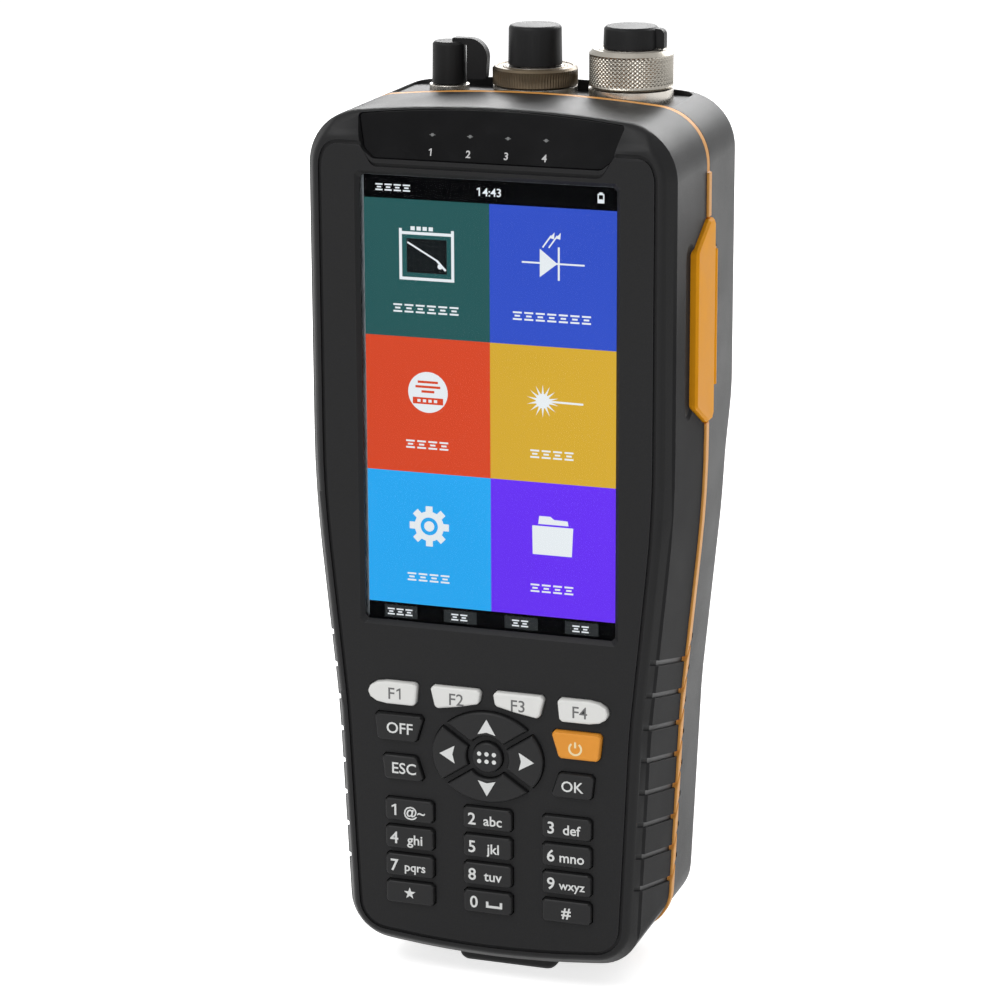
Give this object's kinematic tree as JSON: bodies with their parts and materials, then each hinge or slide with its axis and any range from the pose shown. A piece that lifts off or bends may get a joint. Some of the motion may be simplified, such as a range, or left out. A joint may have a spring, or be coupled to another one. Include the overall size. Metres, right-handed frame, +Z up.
{
  "type": "optical time domain reflectometer",
  "caption": "Handheld fibre tester: portrait colour display over a rubber keypad, capped optical ports on the top end, orange seam bead and side port cover.",
  "frame": {"origin": "centre of the bounding box's underside, on the surface the instrument stands on", "axes": "+X to the viewer's right, +Y from the display to the back, +Z up along the body towards the optical ports"},
  "size_m": [0.0796, 0.0532, 0.2],
  "materials": {
    "shell_black": "fine moulded grain",
    "rubber_orange": "satin",
    "rubber_black": "matt",
    "window": "clear polished",
    "lens_black": "glossy",
    "screen": "lit display",
    "key_white": "satin",
    "key_black": "satin",
    "key_orange": "satin",
    "board_green": "coated circuit board",
    "nickel": "turned and plated",
    "bronze": "turned, dull",
    "steel": "zinc plated",
    "can_metal": "satin",
    "cell_sleeve": "shrink sleeve"
  },
  "bodies": {
    "case": {"battery_contacts": "steel", "battery_pack": "cell_sleeve", "bottom_foot": "rubber_black", "case_screws": "steel", "connector_panel": "lens_black", "dc_jack": "lens_black", "display_window": "window", "front_shell": "shell_black", "indicator_lens": "lens_black", "io_board": "board_green", "keypad_board": "board_green", "keypad_mat": "rubber_black", "lcd_module": "screen", "main_board": "board_green", "micro_usb_socket": "steel", "opm_module": "can_metal", "opm_port": "nickel", "otdr_module": "can_metal", "otdr_port": "nickel", "rear_shell": "shell_black", "seam_seal": "rubber_orange", "side_cover_anchor": "rubber_orange", "status_leds": "board_green", "usb_socket": "steel", "vfl_module": "can_metal", "vfl_port": "nickel"},
    "key_f1_body": {"key_f1": "key_white"},
    "key_f2_body": {"key_f2": "key_white"},
    "key_f3_body": {"key_f3": "key_white"},
    "key_f4_body": {"key_f4": "key_white"},
    "key_off_body": {"key_off": "key_black"},
    "key_esc_body": {"key_esc": "key_black"},
    "key_power_body": {"key_power": "key_orange"},
    "key_ok_body": {"key_ok": "key_black"},
    "key_up_body": {"key_up": "key_black"},
    "key_down_body": {"key_down": "key_black"},
    "key_left_body": {"key_left": "key_black"},
    "key_right_body": {"key_right": "key_black"},
    "key_menu_body": {"key_menu": "key_black"},
    "key_0_body": {"key_0": "key_black"},
    "key_1_body": {"key_1": "key_black"},
    "key_2_body": {"key_2": "key_black"},
    "key_3_body": {"key_3": "key_black"},
    "key_4_body": {"key_4": "key_black"},
    "key_5_body": {"key_5": "key_black"},
    "key_6_body": {"key_6": "key_black"},
    "key_7_body": {"key_7": "key_black"},
    "key_8_body": {"key_8": "key_black"},
    "key_9_body": {"key_9": "key_black"},
    "key_star_body": {"key_star": "key_black"},
    "key_hash_body": {"key_hash": "key_black"},
    "vfl_cap_body": {"vfl_cap": "rubber_black"},
    "opm_cap_body": {"opm_cap": "rubber_black"},
    "otdr_cap_body": {"otdr_cap": "rubber_black"},
    "opm_ring_body": {"opm_ring": "bronze"},
    "otdr_nut_body": {"otdr_nut": "nickel"},
    "side_cover_body": {"side_cover": "rubber_orange"},
    "battery_door_body": {"battery_door": "shell_black", "door_screws": "steel"}
  },
  "joints": [
    {"name": "side_cover_swing", "type": "hinge", "parent": "case", "child": "side_cover_body", "pos_m": [0.0392, 0.0045, 0.14165], "axis": [0, 0, 1], "range_deg": [0, 110]},
    {"name": "vfl_cap_lift", "type": "slide", "parent": "case", "child": "vfl_cap_body", "axis": [0, 0, 1], "range_m": [0, 0.02]},
    {"name": "opm_cap_lift", "type": "slide", "parent": "case", "child": "opm_cap_body", "axis": [0, 0, 1], "range_m": [0, 0.02]},
    {"name": "otdr_cap_lift", "type": "slide", "parent": "case", "child": "otdr_cap_body", "axis": [0, 0, 1], "range_m": [0, 0.02]},
    {"name": "opm_ring_turn", "type": "hinge", "parent": "case", "child": "opm_ring_body", "pos_m": [-0.0013, 0.0108, 0.189], "axis": [0, 0, 1], "range_deg": [0, 360]},
    {"name": "otdr_nut_turn", "type": "hinge", "parent": "case", "child": "otdr_nut_body", "pos_m": [0.0195, 0.0108, 0.191], "axis": [0, 0, 1], "range_deg": [0, 360]},
    {"name": "battery_door_lift", "type": "slide", "parent": "case", "child": "battery_door_body", "axis": [0, 1, 0], "range_m": [0, 0.015]},
    {"name": "key_f1_press", "type": "slide", "parent": "case", "child": "key_f1_body", "axis": [0, 1, 0], "range_m": [0, 0.0008], "stiffness_N_per_m": 400, "springref_m": -0.0005},
    {"name": "key_f2_press", "type": "slide", "parent": "case", "child": "key_f2_body", "axis": [0, 1, 0], "range_m": [0, 0.0008], "stiffness_N_per_m": 400, "springref_m": -0.0005},
    {"name": "key_f3_press", "type": "slide", "parent": "case", "child": "key_f3_body", "axis": [0, 1, 0], "range_m": [0, 0.0008], "stiffness_N_per_m": 400, "springref_m": -0.0005},
    {"name": "key_f4_press", "type": "slide", "parent": "case", "child": "key_f4_body", "axis": [0, 1, 0], "range_m": [0, 0.0008], "stiffness_N_per_m": 400, "springref_m": -0.0005},
    {"name": "key_off_press", "type": "slide", "parent": "case", "child": "key_off_body", "axis": [0, 1, 0], "range_m": [0, 0.0008], "stiffness_N_per_m": 400, "springref_m": -0.0005},
    {"name": "key_esc_press", "type": "slide", "parent": "case", "child": "key_esc_body", "axis": [0, 1, 0], "range_m": [0, 0.0008], "stiffness_N_per_m": 400, "springref_m": -0.0005},
    {"name": "key_power_press", "type": "slide", "parent": "case", "child": "key_power_body", "axis": [0, 1, 0], "range_m": [0, 0.0008], "stiffness_N_per_m": 400, "springref_m": -0.0005},
    {"name": "key_ok_press", "type": "slide", "parent": "case", "child": "key_ok_body", "axis": [0, 1, 0], "range_m": [0, 0.0008], "stiffness_N_per_m": 400, "springref_m": -0.0005},
    {"name": "key_up_press", "type": "slide", "parent": "case", "child": "key_up_body", "axis": [0, 1, 0], "range_m": [0, 0.0008], "stiffness_N_per_m": 400, "springref_m": -0.0005},
    {"name": "key_down_press", "type": "slide", "parent": "case", "child": "key_down_body", "axis": [0, 1, 0], "range_m": [0, 0.0008], "stiffness_N_per_m": 400, "springref_m": -0.0005},
    {"name": "key_left_press", "type": "slide", "parent": "case", "child": "key_left_body", "axis": [0, 1, 0], "range_m": [0, 0.0008], "stiffness_N_per_m": 400, "springref_m": -0.0005},
    {"name": "key_right_press", "type": "slide", "parent": "case", "child": "key_right_body", "axis": [0, 1, 0], "range_m": [0, 0.0008], "stiffness_N_per_m": 400, "springref_m": -0.0005},
    {"name": "key_menu_press", "type": "slide", "parent": "case", "child": "key_menu_body", "axis": [0, 1, 0], "range_m": [0, 0.0008], "stiffness_N_per_m": 400, "springref_m": -0.0005},
    {"name": "key_0_press", "type": "slide", "parent": "case", "child": "key_0_body", "axis": [0, 1, 0], "range_m": [0, 0.0008], "stiffness_N_per_m": 400, "springref_m": -0.0005},
    {"name": "key_1_press", "type": "slide", "parent": "case", "child": "key_1_body", "axis": [0, 1, 0], "range_m": [0, 0.0008], "stiffness_N_per_m": 400, "springref_m": -0.0005},
    {"name": "key_2_press", "type": "slide", "parent": "case", "child": "key_2_body", "axis": [0, 1, 0], "range_m": [0, 0.0008], "stiffness_N_per_m": 400, "springref_m": -0.0005},
    {"name": "key_3_press", "type": "slide", "parent": "case", "child": "key_3_body", "axis": [0, 1, 0], "range_m": [0, 0.0008], "stiffness_N_per_m": 400, "springref_m": -0.0005},
    {"name": "key_4_press", "type": "slide", "parent": "case", "child": "key_4_body", "axis": [0, 1, 0], "range_m": [0, 0.0008], "stiffness_N_per_m": 400, "springref_m": -0.0005},
    {"name": "key_5_press", "type": "slide", "parent": "case", "child": "key_5_body", "axis": [0, 1, 0], "range_m": [0, 0.0008], "stiffness_N_per_m": 400, "springref_m": -0.0005},
    {"name": "key_6_press", "type": "slide", "parent": "case", "child": "key_6_body", "axis": [0, 1, 0], "range_m": [0, 0.0008], "stiffness_N_per_m": 400, "springref_m": -0.0005},
    {"name": "key_7_press", "type": "slide", "parent": "case", "child": "key_7_body", "axis": [0, 1, 0], "range_m": [0, 0.0008], "stiffness_N_per_m": 400, "springref_m": -0.0005},
    {"name": "key_8_press", "type": "slide", "parent": "case", "child": "key_8_body", "axis": [0, 1, 0], "range_m": [0, 0.0008], "stiffness_N_per_m": 400, "springref_m": -0.0005},
    {"name": "key_9_press", "type": "slide", "parent": "case", "child": "key_9_body", "axis": [0, 1, 0], "range_m": [0, 0.0008], "stiffness_N_per_m": 400, "springref_m": -0.0005},
    {"name": "key_star_press", "type": "slide", "parent": "case", "child": "key_star_body", "axis": [0, 1, 0], "range_m": [0, 0.0008], "stiffness_N_per_m": 400, "springref_m": -0.0005},
    {"name": "key_hash_press", "type": "slide", "parent": "case", "child": "key_hash_body", "axis": [0, 1, 0], "range_m": [0, 0.0008], "stiffness_N_per_m": 400, "springref_m": -0.0005}
  ]
}
